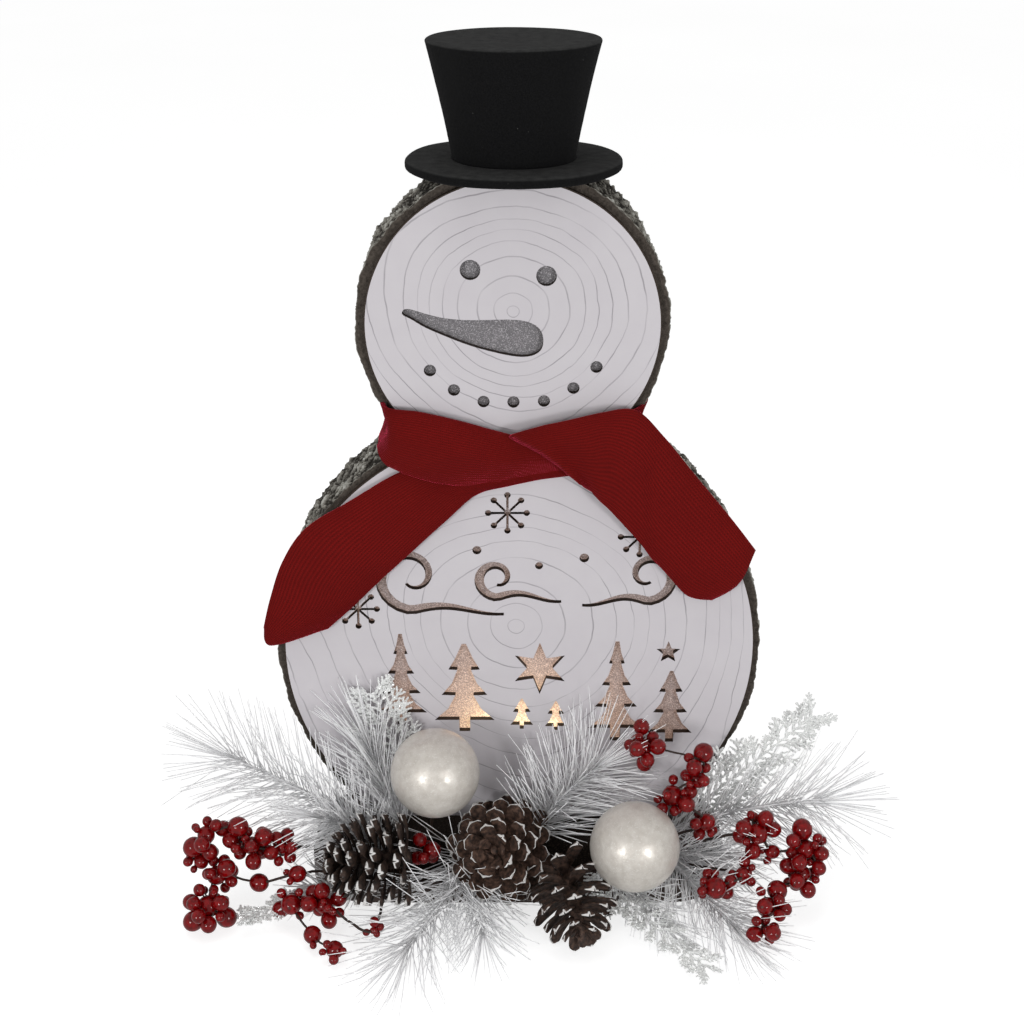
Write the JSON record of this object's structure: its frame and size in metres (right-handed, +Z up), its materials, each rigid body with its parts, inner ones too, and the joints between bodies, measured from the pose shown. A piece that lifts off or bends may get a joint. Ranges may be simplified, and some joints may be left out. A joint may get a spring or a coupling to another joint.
{
  "type": "lighted wooden snowman figure",
  "caption": "Standing two-tier snowman of hollow log slabs with white cut-out faces lit from inside, top hat, knitted scarf and a winter floral foot on a board.",
  "frame": {"origin": "centre of the base board's underside, on the surface the figure stands on", "axes": "+Z up, the figure faces -Y, +X to the right of somebody facing it"},
  "size_m": [0.5456, 0.2864, 0.61],
  "materials": {
    "base_wood": "dark brown stain, satin",
    "bark": "rough bark with pale dry-brushed ridges",
    "painted_panel": "matt white paint with fine engraved growth rings and laser-browned edges",
    "glitter_film": "grey glitter film that lets light through",
    "back_board": "plain hardboard",
    "dowel_wood": "plain birch",
    "steel": "zinc plated",
    "felt": "black pressed felt",
    "copper_wire": "lacquered copper wire",
    "warm_lamp": "clear cap over a warm white lamp",
    "battery_plastic": "black moulded plastic, lightly textured",
    "switch_plastic": "pale moulded plastic",
    "cell_jacket": "printed sleeve with no lettering",
    "red_knit": "fine ribbed knit",
    "foam": "dry dark brown floral foam",
    "pearl": "ivory pearl with fine glitter",
    "stem_wire": "brown wrapped wire",
    "cone_scale": "dark natural scales with white-painted tips",
    "white_pine": "white with a slight gloss",
    "glitter_cedar": "white, crusted with clear glitter",
    "red_berry": "glossy red lacquer"
  },
  "bodies": {
    "figure": {"base_board": "base_wood", "base_screws": "steel", "body_shell": "bark", "head_shell": "bark", "neck_dowels": "dowel_wood", "body_face": "painted_panel", "head_face": "painted_panel", "body_film": "glitter_film", "head_film": "glitter_film", "body_back_panel": "back_board", "head_back_panel": "back_board", "panel_screws": "steel", "hat_peg": "dowel_wood", "hat_brim": "felt", "hat_crown": "felt", "hat_top": "felt", "light_string_wire": "copper_wire", "light_bulbs": "warm_lamp", "battery_box": "battery_plastic", "battery_cells": "cell_jacket", "battery_contacts": "steel", "scarf_neck_wrap": "red_knit", "scarf_left_tail": "red_knit", "scarf_right_tail": "red_knit", "floral_foam": "foam", "ball_left": "pearl", "ball_right": "pearl", "ball_picks": "stem_wire", "pine_cone_left": "cone_scale", "pine_cone_middle": "cone_scale", "pine_cone_right": "cone_scale", "pine_sprig_left": "white_pine", "pine_sprig_upright_left": "white_pine", "pine_sprig_centre": "white_pine", "pine_sprig_right": "white_pine", "pine_sprig_front_left": "white_pine", "pine_sprig_front_right": "white_pine", "cedar_sprig_upper_left": "glitter_cedar", "cedar_sprig_upper_right": "glitter_cedar", "cedar_sprig_front_right": "glitter_cedar", "cedar_sprig_front_left": "glitter_cedar", "berry_spray_left_upper": "red_berry", "berry_spray_left_lower": "red_berry", "berry_spray_front_left": "red_berry", "berry_cluster_middle": "red_berry", "berry_spray_right_upper": "red_berry", "berry_spray_right_lower": "red_berry", "berry_spray_front_right": "red_berry"},
    "battery_cover": {"battery_cover": "battery_plastic"},
    "switch_slider": {"switch_slider": "switch_plastic"}
  },
  "joints": [
    {"name": "battery_cover_slide", "type": "slide", "parent": "figure", "child": "battery_cover", "axis": [0, 0, -1], "range_m": [0, 0.06]},
    {"name": "switch_slide", "type": "slide", "parent": "figure", "child": "switch_slider", "axis": [1, 0, 0], "range_m": [-0.0028, 0.0028]}
  ]
}
